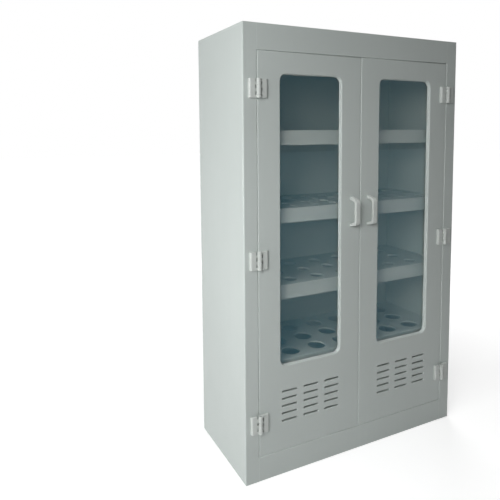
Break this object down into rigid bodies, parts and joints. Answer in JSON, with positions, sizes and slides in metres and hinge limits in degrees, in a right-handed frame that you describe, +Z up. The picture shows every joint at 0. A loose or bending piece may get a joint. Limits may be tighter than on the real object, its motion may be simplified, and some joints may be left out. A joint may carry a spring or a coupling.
{
  "type": "reagent storage cabinet",
  "caption": "Tall welded plastic cabinet with two hinged doors, each with a rounded glazed window and rows of air slots, bow handles and perforated shelves inside.",
  "frame": {"origin": "middle of the cabinet's plan, on the underside of the middle floor bearer, which stands on the floor", "axes": "+X to the right seen from the front, -Y out of the front, +Z up"},
  "size_m": [1.1, 0.496, 1.8],
  "materials": {
    "body_sheet": "satin grey-white polypropylene sheet with a faint green cast",
    "shelf_sheet": "satin grey-white polypropylene sheet, machined edges",
    "moulded_white": "off-white moulded polypropylene, soft sheen",
    "window_glass": "clear float glass",
    "pin_steel": "stainless steel rod",
    "strike_steel": "ferritic stainless plate"
  },
  "bodies": {
    "carcass": {"back_panel": "body_sheet", "door_stop": "body_sheet", "floor_bearer_left": "body_sheet", "floor_bearer_middle": "body_sheet", "floor_bearer_right": "body_sheet", "floor_panel": "body_sheet", "floor_sill": "body_sheet", "left_front_stile": "body_sheet", "left_hinge_1_frame_leaf": "moulded_white", "left_hinge_2_frame_leaf": "moulded_white", "left_hinge_3_frame_leaf": "moulded_white", "left_hinge_pins": "pin_steel", "left_magnet_catch": "moulded_white", "left_shelf_cleats": "shelf_sheet", "left_side_panel": "body_sheet", "plinth": "body_sheet", "right_front_stile": "body_sheet", "right_hinge_1_frame_leaf": "moulded_white", "right_hinge_2_frame_leaf": "moulded_white", "right_hinge_3_frame_leaf": "moulded_white", "right_hinge_pins": "pin_steel", "right_magnet_catch": "moulded_white", "right_shelf_cleats": "shelf_sheet", "right_side_panel": "body_sheet", "shelf_1_back_lip": "shelf_sheet", "shelf_1_deck": "shelf_sheet", "shelf_1_lip": "shelf_sheet", "shelf_2_back_lip": "shelf_sheet", "shelf_2_deck": "shelf_sheet", "shelf_2_lip": "shelf_sheet", "shelf_3_back_lip": "shelf_sheet", "shelf_3_deck": "shelf_sheet", "shelf_3_lip": "shelf_sheet", "shelf_4_back_lip": "shelf_sheet", "shelf_4_deck": "shelf_sheet", "shelf_4_lip": "shelf_sheet", "top_panel": "body_sheet", "top_rail": "body_sheet"},
    "left_door": {"left_door_core": "body_sheet", "left_door_face": "body_sheet", "left_door_glass": "window_glass", "left_door_handle": "moulded_white", "left_glazing_frame": "body_sheet", "left_hinge_1_door_leaf": "moulded_white", "left_hinge_2_door_leaf": "moulded_white", "left_hinge_3_door_leaf": "moulded_white", "left_strike_plate": "strike_steel"},
    "right_door": {"right_door_core": "body_sheet", "right_door_face": "body_sheet", "right_door_glass": "window_glass", "right_door_handle": "moulded_white", "right_glazing_frame": "body_sheet", "right_hinge_1_door_leaf": "moulded_white", "right_hinge_2_door_leaf": "moulded_white", "right_hinge_3_door_leaf": "moulded_white", "right_strike_plate": "strike_steel"}
  },
  "joints": [
    {"name": "left_door_hinge", "type": "hinge", "parent": "carcass", "child": "left_door", "pos_m": [-0.48925, -0.2375, 0.9], "axis": [0, 0, -1], "range_deg": [0, 170]},
    {"name": "right_door_hinge", "type": "hinge", "parent": "carcass", "child": "right_door", "pos_m": [0.48925, -0.2375, 0.9], "axis": [0, 0, 1], "range_deg": [0, 170]}
  ]
}
